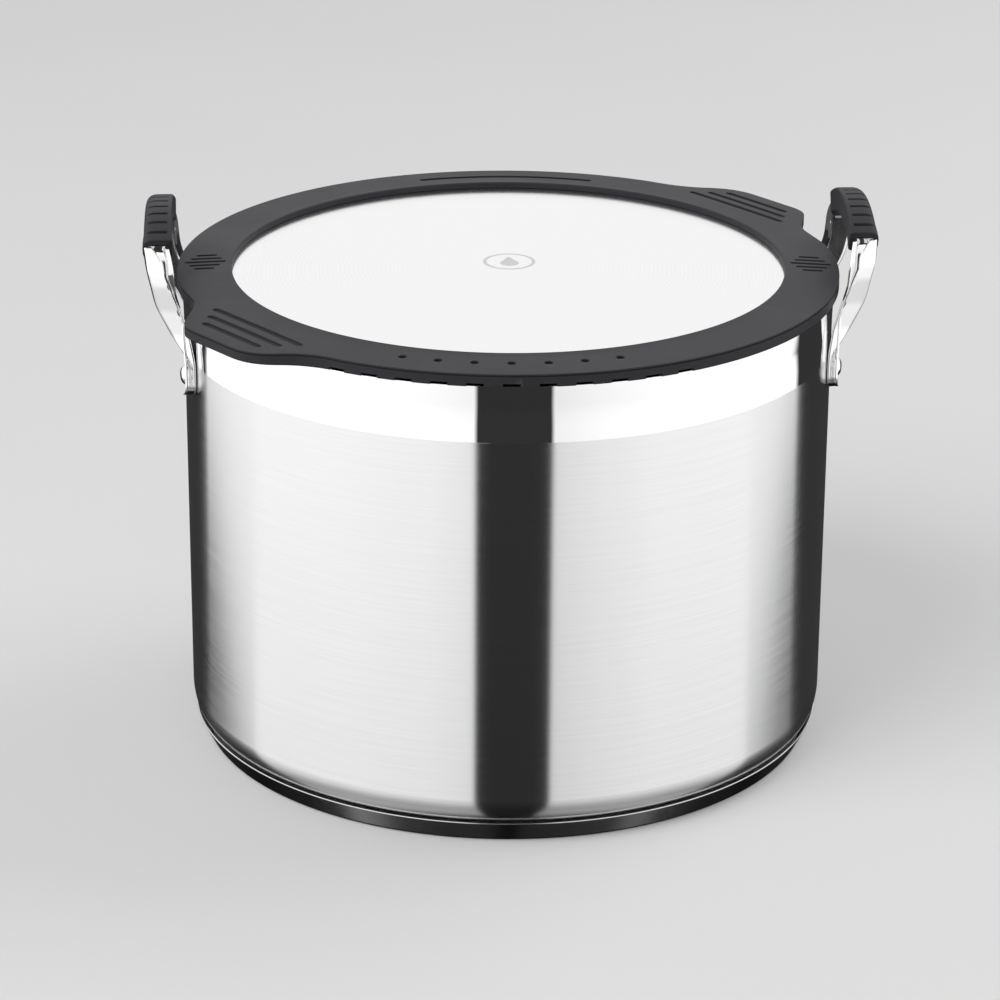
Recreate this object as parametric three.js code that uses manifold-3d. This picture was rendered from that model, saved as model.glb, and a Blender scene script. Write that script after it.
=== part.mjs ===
// Water bath canner: a stainless steel stockpot with an encapsulated base, two riveted loop
// handles with silicone grips, a steel lid in a silicone straining rim, and a wire jar rack inside.
//
// Millimetres, +Z up. The origin is on the pot's axis at the underside of the base. The handles
// stand on the X axis, and the straining holes of the lid face -Y.

import * as THREE from 'three';
import { mergeVertices } from 'three/addons/utils/BufferGeometryUtils.js';
import Module from 'manifold-3d';

const wasm = await Module();
wasm.setup();

// ---------------------------------------------------------------- driving dimensions

const GAP = 0.3; // clearance between pieces that touch
const SMALLEST_DETAIL = 0.02; // slivers below this size are merged away after a cut
const ROUND_STEPS = 60; // facets around the pot and the lid
const HANDLE_STEPS = 80; // finer, with the facet edges clear of the handle's legs

const POT_RADIUS = 165;
const POT_WALL = 1;
const POT_RIM = 240.1;
const FLOOR_UNDERSIDE = 6;
const CORNER_REACH = 15; // how far the rounding between wall and floor reaches
const LIP_FLARE = 1.6;
const LIP_HEIGHT = 5;

const CAP_WALL = 0.9;
const CAP_HEIGHT = 11.5;
const CAP_TOP_RADIUS = 163.9;
const CAP_FOOT_RADIUS = 158;

const DISC_RADIUS = 146;
const DISC_UNDERSIDE = 243.9;
const DISC_THICKNESS = 1.2;

const RIM_INNER_RADIUS = 140.2;
const RIM_OUTER_RADIUS = 168;
const RIM_TOP = 248.3; // at the inner edge, from where the top falls outwards
const RIM_FALL = 0.05; // fall of the top for each millimetre of radius
const RIM_UNDERSIDE = 241.2;
const SEAL_OUTER_RADIUS = 163.2; // the ring that drops into the pot's mouth
const SEAL_INNER_RADIUS = 159.8;
const SEAL_BOTTOM = 230;
const LID_TURN = -2.7; // degrees that the lid is turned on the pot

const TAB_AZIMUTH = 39.5;
const TAB_REACH = 184;
const TAB_HALF_EDGE = 27;
const TAB_GROOVE_WIDTH = 2.7;
const TAB_GROOVE_PITCH = 7.7;
const VENT_CIRCLE_RADIUS = 153.5;
const VENT_RADIUS = 2;
const NOTCH_WIDTH = 8.4;
const NOTCH_PITCH = 5.9; // degrees

const BAR_WIDTH = 8; // of the handle's bar, seen along X
const BAR_OFFSET = 176.2; // from the pot's axis to the middle of the bar inside the grip, along X
const LEG_OFFSET = 40; // from the handle's middle to the middle of each leg
const LEG_TOP = 256.4; // where the legs start to bend over
const BEND_RADIUS = 12;
const BEND_TURN = 62; // degrees turned by each bend, before the flatter crown
const FOOT_BOTTOM = 193.7;
const FOOT_WIDTH = 14;
const RIVET_HEIGHT = 204.3;
const RIVET_ANGLE = 14.45; // degrees from the X axis to each rivet
const RIVET_SHANK = 2.5;

const GRIP_START = 60; // degrees around the bend where the grip ends
const GRIP_ABOVE = 7; // silicone above and below the middle of the bar
const GRIP_BELOW = 5.8;
const GRIP_HALF_DEPTH = 7.5;
const GRIP_GROOVE_PITCH = 8.1;
const GRIP_GROOVES = 9;

const RACK_RADIUS = 138;
const RACK_RING_WIRE = 2.5; // wire radii
const RACK_THIN_WIRE = 2;
const RACK_BASE_HEIGHT = 16.5;
const RACK_TOP_HEIGHT = 98;
const DIVIDER_RADIUS = 50;
const DIVIDER_HEIGHT = 62;
const FLOOR_WIRE_PITCH = 35;
const BAIL_HALF_WIDTH = 50;
const BAIL_LENGTH = 118;
const BAIL_LEAN = 8; // degrees outwards from upright
const EYE_RADIUS = 6.2;

// ---------------------------------------------------------------- materials

const steel = (roughness) => new THREE.MeshStandardMaterial({ color: 0xc9cacc, roughness, metalness: 1 });
const brushedSteel = steel(0.38);
const polishedSteel = steel(0.14);
const wireSteel = steel(0.22);
const aluminium = new THREE.MeshStandardMaterial({ color: 0xb4b6b8, roughness: 0.5, metalness: 1 });
const silicone = new THREE.MeshStandardMaterial({ color: 0x2b2a2d, roughness: 0.7, metalness: 0 });

// ---------------------------------------------------------------- shape helpers

const radians = THREE.MathUtils.degToRad;
const Z_AXIS = new THREE.Vector3(0, 0, 1);

/** A closed outline through [x, y, reach] corners; reach is how far a corner's rounding goes. */
function roundedOutline(corners) {
  const outline = new THREE.Shape();
  corners.forEach(([x, y, reach = 0], i) => {
    const corner = new THREE.Vector2(x, y);
    const [beforeX, beforeY] = corners.at(i - 1);
    const [afterX, afterY] = corners[(i + 1) % corners.length];
    const enter = new THREE.Vector2(beforeX, beforeY).sub(corner).setLength(reach).add(corner);
    const leave = new THREE.Vector2(afterX, afterY).sub(corner).setLength(reach).add(corner);
    if (i === 0) outline.moveTo(enter.x, enter.y);
    else outline.lineTo(enter.x, enter.y);
    if (reach > 0) outline.quadraticCurveTo(x, y, leave.x, leave.y);
  });
  outline.closePath();
  return outline;
}

/** A solid of revolution about Z from a closed [radius, height, reach] profile. */
function revolve(corners, { steps = ROUND_STEPS, roundness = 3 } = {}) {
  const profile = roundedOutline(corners).getPoints(roundness);
  if (THREE.ShapeUtils.isClockWise(profile)) profile.reverse();
  return toSolid(new THREE.LatheGeometry(profile, steps).rotateX(Math.PI / 2));
}

/** An outline in the XY plane, extruded from one height to another. */
function extrude(outline, bottom, top, curveSegments = 4) {
  const options = { depth: top - bottom, bevelEnabled: false, curveSegments };
  return new THREE.ExtrudeGeometry(outline, options).translate(0, 0, bottom);
}

/** An outline in the YZ plane, extruded along X. */
function extrudeAlongX(outline, from, to, curveSegments = 4) {
  const turn = new THREE.Matrix4().makeBasis(
    new THREE.Vector3(0, 1, 0),
    new THREE.Vector3(0, 0, 1),
    new THREE.Vector3(1, 0, 0),
  );
  return extrude(outline, from, to, curveSegments).applyMatrix4(turn);
}

/** A box given by its lowest and highest corners. */
function box(low, high) {
  const size = high.map((value, i) => value - low[i]);
  const middle = high.map((value, i) => (value + low[i]) / 2);
  return new THREE.BoxGeometry(...size).translate(...middle);
}

/** A round rod between two points. */
function rod(from, to, radius, sides = 8) {
  const start = new THREE.Vector3(...from);
  const along = new THREE.Vector3(...to).sub(start);
  const turn = new THREE.Quaternion().setFromUnitVectors(new THREE.Vector3(0, 1, 0), along.clone().normalize());
  return new THREE.CylinderGeometry(radius, radius, along.length(), sides)
    .translate(0, along.length() / 2, 0)
    .applyQuaternion(turn)
    .translate(...from);
}

/** A wire ring around the Z axis. */
function wireRing(radius, wire, height, steps = 48) {
  return new THREE.TorusGeometry(radius, wire, 6, steps).translate(0, 0, height);
}

/** The same outline, mirrored in its first coordinate. */
function mirrored(outline, divisions) {
  const points = outline.getPoints(divisions).map((point) => new THREE.Vector2(-point.x, point.y));
  return new THREE.Shape(points.reverse());
}

/** A manifold solid from a closed geometry. */
function toSolid(geometry) {
  const bare = geometry.clone();
  bare.deleteAttribute('normal');
  bare.deleteAttribute('uv');
  const merged = mergeVertices(bare, 1e-4);
  const corners = merged.index.array;
  const faces = [];
  for (let i = 0; i < corners.length; i += 3) {
    const [a, b, c] = [corners[i], corners[i + 1], corners[i + 2]];
    if (a !== b && b !== c && c !== a) faces.push(a, b, c);
  }
  const vertProperties = merged.attributes.position.array;
  return new wasm.Manifold(new wasm.Mesh({ numProp: 3, vertProperties, triVerts: new Uint32Array(faces) }));
}

/** One solid joined from several geometries. */
function joined(geometries) {
  return geometries.map(toSolid).reduce((whole, piece) => whole.add(piece));
}

/** A solid with each of the geometries cut away from it. */
function cutAway(solid, geometries) {
  return geometries.map(toSolid).reduce((rest, cutter) => rest.subtract(cutter), solid);
}

/** A named mesh from a solid or a geometry. */
function part(name, shape, material) {
  let geometry = shape;
  if (!shape.isBufferGeometry) {
    const mesh = shape.simplify(SMALLEST_DETAIL).getMesh();
    geometry = new THREE.BufferGeometry();
    geometry.setAttribute('position', new THREE.BufferAttribute(mesh.vertProperties, 3));
    geometry.setIndex(new THREE.BufferAttribute(mesh.triVerts, 1));
    geometry.computeVertexNormals();
  }
  const result = new THREE.Mesh(geometry, material);
  result.name = name;
  return result;
}

// ---------------------------------------------------------------- pot

/** A round cutter through the pot's wall and a handle's foot, at a rivet. */
function rivetHole(azimuth) {
  const direction = new THREE.Vector3(1, 0, 0).applyAxisAngle(Z_AXIS, radians(azimuth));
  const from = direction.clone().multiplyScalar(POT_RADIUS - 8).setZ(RIVET_HEIGHT);
  const to = direction.clone().multiplyScalar(POT_RADIUS + 8).setZ(RIVET_HEIGHT);
  return rod(from.toArray(), to.toArray(), RIVET_SHANK + GAP, 16);
}

/** The azimuths of the four rivets, by name. */
const RIVETS = {
  right_front_rivet: -RIVET_ANGLE,
  right_rear_rivet: RIVET_ANGLE,
  left_rear_rivet: 180 - RIVET_ANGLE,
  left_front_rivet: 180 + RIVET_ANGLE,
};

function potShell() {
  const inner = POT_RADIUS - POT_WALL;
  const floorTop = FLOOR_UNDERSIDE + POT_WALL;
  const lipStart = POT_RIM - LIP_HEIGHT;
  const wall = revolve([
    [0, FLOOR_UNDERSIDE],
    [POT_RADIUS, FLOOR_UNDERSIDE, CORNER_REACH],
    [POT_RADIUS, lipStart],
    [POT_RADIUS + LIP_FLARE, POT_RIM - 2],
    [POT_RADIUS + LIP_FLARE, POT_RIM],
    [POT_RADIUS, POT_RIM],
    [inner, lipStart + 1],
    [inner, floorTop, CORNER_REACH - POT_WALL],
    [0, floorTop],
  ]);
  return cutAway(wall, Object.values(RIVETS).map(rivetHole));
}

function baseCore() {
  const bottom = CAP_WALL + GAP;
  const top = FLOOR_UNDERSIDE - GAP;
  return revolve([
    [0, bottom],
    [CAP_FOOT_RADIUS - 1.6, bottom],
    [CAP_FOOT_RADIUS + 0.8, top],
    [0, top],
  ]);
}

function baseCap() {
  return revolve([
    [0, 0],
    [CAP_FOOT_RADIUS, 0, 1.5],
    [CAP_TOP_RADIUS, CAP_HEIGHT],
    [CAP_TOP_RADIUS - CAP_WALL, CAP_HEIGHT],
    [CAP_FOOT_RADIUS - 0.8, CAP_WALL, 1],
    [0, CAP_WALL],
  ], { roundness: 2 });
}

function rivet(azimuth) {
  const headRadius = RIVET_SHANK * 2;
  const insideHead = -POT_WALL - 2 * GAP;
  const outsideHead = 2.1 + 2 * GAP;
  const profile = [
    [0, insideHead - 1.6],
    [headRadius, insideHead - 1.6, 1.2],
    [headRadius, insideHead],
    [RIVET_SHANK, insideHead],
    [RIVET_SHANK, outsideHead],
    [headRadius, outsideHead],
    [headRadius, outsideHead + 3.8, 3.2],
    [0, outsideHead + 3.8],
  ];
  const points = roundedOutline(profile).getPoints(3);
  const solid = toSolid(new THREE.LatheGeometry(points, 12).rotateX(Math.PI / 2).rotateY(Math.PI / 2));
  return part('rivet', solid, polishedSteel).geometry
    .translate(POT_RADIUS, 0, RIVET_HEIGHT)
    .rotateZ(radians(azimuth));
}

// ---------------------------------------------------------------- handles

const BEND_CENTRE = LEG_OFFSET - BEND_RADIUS; // from the handle's middle
const CROWN_RADIUS = BEND_RADIUS + BEND_CENTRE / Math.cos(radians(BEND_TURN));
const CROWN_CENTRE = LEG_TOP - BEND_CENTRE * Math.tan(radians(BEND_TURN));

/** The handle's arch in the YZ plane, as a band about the middle of the bar. */
function archBand(below, above, start) {
  const band = new THREE.Shape();
  const startAngle = radians(start);
  const bendAngle = radians(BEND_TURN);
  const half = Math.PI;
  band.absarc(-BEND_CENTRE, LEG_TOP, BEND_RADIUS + above, half - startAngle, half - bendAngle, true);
  band.absarc(0, CROWN_CENTRE, CROWN_RADIUS + above, half - bendAngle, bendAngle, true);
  band.absarc(BEND_CENTRE, LEG_TOP, BEND_RADIUS + above, bendAngle, startAngle, true);
  band.absarc(BEND_CENTRE, LEG_TOP, BEND_RADIUS - below, startAngle, bendAngle, false);
  band.absarc(0, CROWN_CENTRE, CROWN_RADIUS - below, bendAngle, half - bendAngle, false);
  band.absarc(-BEND_CENTRE, LEG_TOP, BEND_RADIUS - below, half - bendAngle, half - startAngle, false);
  band.closePath();
  return band;
}

/** One leg in the YZ plane, from above the foot to where the grip begins. */
function legBand() {
  const leg = new THREE.Shape();
  const halfWidth = BAR_WIDTH / 2;
  const end = Math.PI - radians(GRIP_START);
  leg.moveTo(-LEG_OFFSET - halfWidth, FOOT_BOTTOM + 20);
  leg.lineTo(-LEG_OFFSET - halfWidth, LEG_TOP);
  leg.absarc(-BEND_CENTRE, LEG_TOP, BEND_RADIUS + halfWidth, Math.PI, end, true);
  leg.absarc(-BEND_CENTRE, LEG_TOP, BEND_RADIUS - halfWidth, end, Math.PI, false);
  leg.lineTo(-LEG_OFFSET + halfWidth, FOOT_BOTTOM + 20);
  leg.closePath();
  return leg;
}

/** The spoon-shaped foot in the YZ plane, narrowing into the leg. */
function footPad() {
  const middle = -POT_RADIUS * Math.sin(radians(RIVET_ANGLE));
  const half = FOOT_WIDTH / 2;
  const leg = BAR_WIDTH / 2;
  return roundedOutline([
    [middle - half, FOOT_BOTTOM, half - 0.5],
    [middle + half, FOOT_BOTTOM, half - 0.5],
    [middle + half, FOOT_BOTTOM + 19, 5],
    [-LEG_OFFSET + leg, FOOT_BOTTOM + 34],
    [-LEG_OFFSET - leg, FOOT_BOTTOM + 34],
    [middle - half, FOOT_BOTTOM + 19, 5],
  ]);
}

/** The handle's side view as a ring: flat on the wall, then sweeping out and thickening. */
function legProfile() {
  const wall = POT_RADIUS + GAP;
  return revolve([
    [wall, FOOT_BOTTOM - 1],
    [wall + 2.1, FOOT_BOTTOM - 1],
    [wall + 2.3, 211.5, 2],
    [181.9, 239, 9],
    [186, 259, 9],
    [186.6, 276],
    [174.6, 276],
    [172.6, 247, 6],
    [166.4, 224, 5],
    [wall, 213, 3],
  ], { steps: HANDLE_STEPS });
}

/** The scoop below the grip and the narrow groove that runs from it down the leg. */
function legGroove() {
  return revolve([
    [175.8, 276],
    [184.6, 276],
    [182.4, 270, 2],
    [179, 265, 3],
    [178.2, 257],
    [175.6, 249.7],
    [171.4, 238],
    [169.8, 238],
    [174, 249.7],
    [176.2, 257],
  ], { steps: HANDLE_STEPS });
}

/** The space outwards of one leg in the YZ plane, and as much of the leg as a groove is deep. */
function legShell(grooveDepth) {
  const shell = new THREE.Shape();
  const inset = BAR_WIDTH / 2 - grooveDepth;
  shell.moveTo(-LEG_OFFSET - inset, FOOT_BOTTOM + 20);
  shell.lineTo(-LEG_OFFSET - inset, LEG_TOP);
  shell.absarc(-BEND_CENTRE, LEG_TOP, BEND_RADIUS + inset, Math.PI, Math.PI - radians(GRIP_START), true);
  shell.lineTo(-LEG_OFFSET - 20, RIM_TOP + 60);
  shell.lineTo(-LEG_OFFSET - 20, FOOT_BOTTOM + 20);
  shell.closePath();
  return shell;
}

/** The arch's band made solid, centred on the bar's plane. */
function archSolid(below, above, start, halfDepth) {
  return toSolid(extrudeAlongX(archBand(below, above, start), BAR_OFFSET - halfDepth, BAR_OFFSET + halfDepth, 3));
}

function handle() {
  const reach = POT_RADIUS + 30;
  const legAndFoot = joined([
    extrudeAlongX(legBand(), 0, reach, 2),
    extrudeAlongX(footPad(), 0, reach, 3),
    extrudeAlongX(mirrored(legBand(), 2), 0, reach),
    extrudeAlongX(mirrored(footPad(), 3), 0, reach),
  ]);
  const halfBar = BAR_WIDTH / 2;
  const bar = archSolid(halfBar - 0.6, halfBar - 0.6, GRIP_START - 4, halfBar);
  const shell = legShell(2.2);
  const grooves = joined([
    extrudeAlongX(shell, 0, reach, 3),
    extrudeAlongX(mirrored(shell, 3), 0, reach),
  ]).intersect(legGroove());
  const solid = legAndFoot.intersect(legProfile()).subtract(grooves).add(bar);
  return cutAway(solid, [rivetHole(-RIVET_ANGLE), rivetHole(RIVET_ANGLE)]);
}

/** A transverse finger groove, at a distance along the grip's outer surface from its middle. */
function gripGroove(distance) {
  const crownRadius = CROWN_RADIUS + GRIP_ABOVE;
  const crownReach = radians(90 - BEND_TURN) * crownRadius;
  const side = Math.sign(distance);
  const beyond = Math.max(Math.abs(distance) - crownReach, 0);
  const onCrown = (Math.abs(distance) - beyond) / crownRadius;
  const onBend = beyond / (BEND_RADIUS + GRIP_ABOVE);
  const centre = beyond > 0 ? [BEND_CENTRE * side, LEG_TOP] : [0, CROWN_CENTRE];
  const radius = beyond > 0 ? BEND_RADIUS + GRIP_ABOVE : crownRadius;
  const [width, depth] = [1.6, 1.3];
  const innerEnd = BAR_OFFSET - GRIP_HALF_DEPTH + 2.6;
  return box([innerEnd, -width / 2, radius - depth], [BAR_OFFSET + 12, width / 2, radius + 5])
    .rotateX(-side * (onCrown + onBend))
    .translate(0, ...centre);
}

function grip() {
  const boreHalf = BAR_WIDTH / 2 + GAP;
  const start = GRIP_START + 1.5;
  const sleeve = archSolid(GRIP_BELOW, GRIP_ABOVE, start, GRIP_HALF_DEPTH);
  const bore = archSolid(boreHalf - 0.6, boreHalf - 0.6, start - 10, boreHalf);
  const solid = sleeve.subtract(bore);
  const grooves = Array.from({ length: GRIP_GROOVES }, (_, i) => (
    gripGroove((i - (GRIP_GROOVES - 1) / 2) * GRIP_GROOVE_PITCH)
  ));
  return cutAway(solid, grooves);
}

// ---------------------------------------------------------------- lid

/** Height of the rim's top surface at a radius. */
const rimTop = (radius) => RIM_TOP - RIM_FALL * (radius - RIM_INNER_RADIUS);

/** The lid's outline seen from above: a circle with a lifting tab on opposite sides. */
function lidOutline() {
  const tab = [
    [159.6, -49, 6],
    [TAB_REACH, -TAB_HALF_EDGE, 8],
    [TAB_REACH, TAB_HALF_EDGE, 14],
    [161.5, 45, 14],
  ];
  const corners = [];
  for (const azimuth of [TAB_AZIMUTH, TAB_AZIMUTH + 180]) {
    const turn = radians(azimuth);
    for (const [out, across, reach] of tab) {
      const x = out * Math.cos(turn) - across * Math.sin(turn);
      const y = out * Math.sin(turn) + across * Math.cos(turn);
      corners.push([x, y, reach]);
    }
    for (let step = 22; step <= 156; step += 6) {
      const angle = turn + radians(step);
      corners.push([RIM_OUTER_RADIUS * Math.cos(angle), RIM_OUTER_RADIUS * Math.sin(angle)]);
    }
  }
  return roundedOutline(corners);
}

/** Three parallel grooves across a lifting tab, shorter towards its edge. */
function tabGrooves(azimuth) {
  return [0, 1, 2].map((row) => {
    const out = 158.5 + row * TAB_GROOVE_PITCH;
    const halfLength = 35.4 - row * 6.2;
    const half = TAB_GROOVE_WIDTH / 2;
    return box([out - half, -halfLength, rimTop(out) - 1], [out + half, halfLength, RIM_TOP + 5])
      .rotateZ(radians(azimuth));
  });
}

/** Small round straining holes at the front of the rim. */
function ventHoles() {
  return [-3, -2, -1, 0, 1, 2, 3].map((place) => {
    const angle = radians(270 + place * 6.53);
    const x = VENT_CIRCLE_RADIUS * Math.cos(angle);
    const y = VENT_CIRCLE_RADIUS * Math.sin(angle);
    return rod([x, y, RIM_UNDERSIDE - 5], [x, y, RIM_TOP + 5], VENT_RADIUS, 10);
  });
}

/** The long straining slot at the back of the rim. */
function ventSlot() {
  const slot = new THREE.Shape();
  const [from, to] = [radians(73), radians(107)];
  slot.absarc(0, 0, VENT_CIRCLE_RADIUS + 1.3, from, to, false);
  slot.absarc(0, 0, VENT_CIRCLE_RADIUS - 1.3, to, from, true);
  slot.closePath();
  return extrude(slot, RIM_UNDERSIDE - 5, RIM_TOP + 5, 5);
}

/** Pouring gaps under the skirt, each running on as a slot through the seal ring. */
function pourNotches() {
  const [inner, middle, outer] = [SEAL_INNER_RADIUS - 1, SEAL_OUTER_RADIUS + 1, RIM_OUTER_RADIUS + 4];
  const side = roundedOutline([
    [inner, SEAL_BOTTOM - 1],
    [middle, SEAL_BOTTOM - 1],
    [middle, POT_RIM - 1],
    [outer, POT_RIM - 1],
    [outer, RIM_UNDERSIDE + 1],
    [inner, RIM_UNDERSIDE + 1],
  ]);
  const notch = extrude(side, -NOTCH_WIDTH / 2, NOTCH_WIDTH / 2).rotateX(Math.PI / 2);
  return Array.from({ length: 11 }, (_, i) => notch.clone().rotateZ(radians(270 + (i - 5) * NOTCH_PITCH)));
}

/** Three short engraved bars, narrowing towards the middle of the lid. */
function alignmentMark(azimuth) {
  return [0, 1, 2].map((row) => {
    const out = 149.6 + row * 6;
    const halfLength = 4 + row * 3;
    return box([out - 1.2, -halfLength, rimTop(out) - 0.6], [out + 1.2, halfLength, RIM_TOP + 5])
      .rotateZ(radians(azimuth));
  });
}

function lidRim() {
  const wide = TAB_REACH + 6;
  const skirtBottom = POT_RIM + GAP;
  const [grooveBottom, grooveTop] = [DISC_UNDERSIDE - GAP, DISC_UNDERSIDE + DISC_THICKNESS + GAP];
  const section = revolve([
    [RIM_INNER_RADIUS, RIM_TOP],
    [RIM_INNER_RADIUS, grooveTop],
    [DISC_RADIUS + GAP, grooveTop],
    [DISC_RADIUS + GAP, grooveBottom],
    [RIM_INNER_RADIUS, grooveBottom],
    [RIM_INNER_RADIUS + 2, RIM_UNDERSIDE],
    [SEAL_INNER_RADIUS, RIM_UNDERSIDE],
    [SEAL_INNER_RADIUS, SEAL_BOTTOM + 2],
    [SEAL_INNER_RADIUS + 1.2, SEAL_BOTTOM],
    [SEAL_OUTER_RADIUS - 0.6, SEAL_BOTTOM + 1],
    [SEAL_OUTER_RADIUS, skirtBottom],
    [wide, skirtBottom],
    [wide, rimTop(wide)],
  ]);
  const solid = section.intersect(toSolid(extrude(lidOutline(), SEAL_BOTTOM - 5, RIM_TOP + 5)));
  return cutAway(solid, [
    ...tabGrooves(TAB_AZIMUTH),
    ...tabGrooves(TAB_AZIMUTH + 180),
    ...ventHoles(),
    ventSlot(),
    ...pourNotches(),
    ...alignmentMark(0),
    ...alignmentMark(180),
  ]);
}

function lidDisc() {
  const top = DISC_UNDERSIDE + DISC_THICKNESS;
  return revolve([
    [0, DISC_UNDERSIDE],
    [DISC_RADIUS, DISC_UNDERSIDE],
    [DISC_RADIUS, top],
    [0, top],
  ]);
}

// ---------------------------------------------------------------- jar rack

/** The rack's upright wires, standing on the pot's floor outside both rings. */
function rackUprights() {
  const radius = RACK_RADIUS + 2 * RACK_RING_WIRE + GAP + 0.1;
  const bottom = FLOOR_UNDERSIDE + POT_WALL + GAP + 0.1;
  const top = RACK_TOP_HEIGHT + RACK_RING_WIRE;
  return [30, 90, 150, 210, 270, 330].map((azimuth, i) => {
    const x = radius * Math.cos(radians(azimuth));
    const y = radius * Math.sin(radians(azimuth));
    return part(`rack_upright_${i + 1}`, rod([x, y, bottom], [x, y, top], RACK_RING_WIRE), wireSteel);
  });
}

/** Spokes that hold the middle divider ring and part the outer jars. */
function rackSpokes() {
  const inner = DIVIDER_RADIUS + RACK_THIN_WIRE + GAP;
  const outer = RACK_RADIUS + RACK_RING_WIRE - 0.2;
  return [30, 90, 150, 210, 270, 330].map((azimuth, i) => {
    const spoke = rod([inner, 0, DIVIDER_HEIGHT], [outer, 0, DIVIDER_HEIGHT], RACK_THIN_WIRE);
    return part(`rack_spoke_${i + 1}`, spoke.rotateZ(radians(azimuth)), wireSteel);
  });
}

/** Parallel floor wires that carry the jars, resting on the base ring. */
function rackFloorWires() {
  const height = RACK_BASE_HEIGHT + RACK_RING_WIRE + GAP + RACK_THIN_WIRE;
  return [-3, -2, -1, 0, 1, 2, 3].map((place, i) => {
    const x = place * FLOOR_WIRE_PITCH;
    const half = Math.sqrt(RACK_RADIUS ** 2 - x ** 2) + 1.5;
    return part(`rack_floor_wire_${i + 1}`, rod([x, -half, height], [x, half, height], RACK_THIN_WIRE), wireSteel);
  });
}

/** Two wires that cross below the floor wires, inside the base ring. */
function rackCrossWires() {
  const height = RACK_BASE_HEIGHT + RACK_RING_WIRE - RACK_THIN_WIRE - 0.1;
  return [-60, 60].map((y, i) => {
    const half = Math.sqrt((RACK_RADIUS - RACK_RING_WIRE - 0.6) ** 2 - (Math.abs(y) + RACK_THIN_WIRE) ** 2);
    return part(`rack_cross_wire_${i + 1}`, rod([-half, y, height], [half, y, height], RACK_THIN_WIRE), wireSteel);
  });
}

/** A lifting bail, hung by an eye at each end on the rack's top ring. */
function rackBail(name, side) {
  const corner = 18;
  const path = new THREE.CurvePath();
  const points = [
    [-BAIL_HALF_WIDTH, EYE_RADIUS],
    [-BAIL_HALF_WIDTH, BAIL_LENGTH - corner],
    [-BAIL_HALF_WIDTH, BAIL_LENGTH],
    [-BAIL_HALF_WIDTH + corner, BAIL_LENGTH],
    [BAIL_HALF_WIDTH - corner, BAIL_LENGTH],
    [BAIL_HALF_WIDTH, BAIL_LENGTH],
    [BAIL_HALF_WIDTH, BAIL_LENGTH - corner],
    [BAIL_HALF_WIDTH, EYE_RADIUS],
  ].map(([y, z]) => new THREE.Vector3(0, y, z));
  path.add(new THREE.LineCurve3(points[0], points[1]));
  path.add(new THREE.QuadraticBezierCurve3(points[1], points[2], points[3]));
  path.add(new THREE.LineCurve3(points[3], points[4]));
  path.add(new THREE.QuadraticBezierCurve3(points[4], points[5], points[6]));
  path.add(new THREE.LineCurve3(points[6], points[7]));
  const section = new THREE.Shape().absarc(0, 0, RACK_THIN_WIRE, 0, 2 * Math.PI);
  const wire = new THREE.ExtrudeGeometry(section, { steps: 36, extrudePath: path, curveSegments: 4 });
  const eye = (y) => new THREE.TorusGeometry(EYE_RADIUS, RACK_THIN_WIRE, 6, 14).rotateX(Math.PI / 2).translate(0, y, 0);
  const solid = joined([wire, eye(-BAIL_HALF_WIDTH), eye(BAIL_HALF_WIDTH)]);
  const bail = part(name, solid, wireSteel);
  const hinge = Math.sqrt(RACK_RADIUS ** 2 - BAIL_HALF_WIDTH ** 2);
  bail.position.set(side * hinge, 0, RACK_TOP_HEIGHT);
  bail.rotation.y = side * radians(BAIL_LEAN);
  return bail;
}

function rack() {
  const group = new THREE.Group();
  group.add(
    part('rack_base_ring', wireRing(RACK_RADIUS, RACK_RING_WIRE, RACK_BASE_HEIGHT), wireSteel),
    part('rack_top_ring', wireRing(RACK_RADIUS, RACK_RING_WIRE, RACK_TOP_HEIGHT), wireSteel),
    part('rack_divider_ring', wireRing(DIVIDER_RADIUS, RACK_THIN_WIRE, DIVIDER_HEIGHT, 30), wireSteel),
    ...rackUprights(),
    ...rackSpokes(),
    ...rackFloorWires(),
    ...rackCrossWires(),
    rackBail('rack_bail_right', 1),
    rackBail('rack_bail_left', -1),
  );
  return group;
}

// ---------------------------------------------------------------- assembly

/** A handle and its grip, on the right or turned half round to the left. */
function handleAssembly(side, turn) {
  const group = new THREE.Group();
  group.add(part(`${side}_handle`, handle(), polishedSteel));
  group.add(part(`${side}_grip`, grip(), silicone));
  group.rotation.z = turn;
  return group;
}

function lid() {
  const group = new THREE.Group();
  group.add(part('lid_disc', lidDisc(), brushedSteel));
  group.add(part('lid_rim', lidRim(), silicone));
  group.rotation.z = radians(LID_TURN);
  return group;
}

const canner = new THREE.Group();
canner.add(part('pot_shell', potShell(), brushedSteel));
canner.add(part('base_core', baseCore(), aluminium));
canner.add(part('base_cap', baseCap(), polishedSteel));
canner.add(handleAssembly('right', 0));
canner.add(handleAssembly('left', Math.PI));
for (const [name, azimuth] of Object.entries(RIVETS)) {
  canner.add(part(name, rivet(azimuth), polishedSteel));
}
canner.add(lid());
canner.add(rack());

export default canner;
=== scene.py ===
from math import cos, hypot, pi, radians, sin, sqrt, tan

import bmesh
import bpy
import numpy as np
from mathutils import Matrix, Vector


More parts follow.
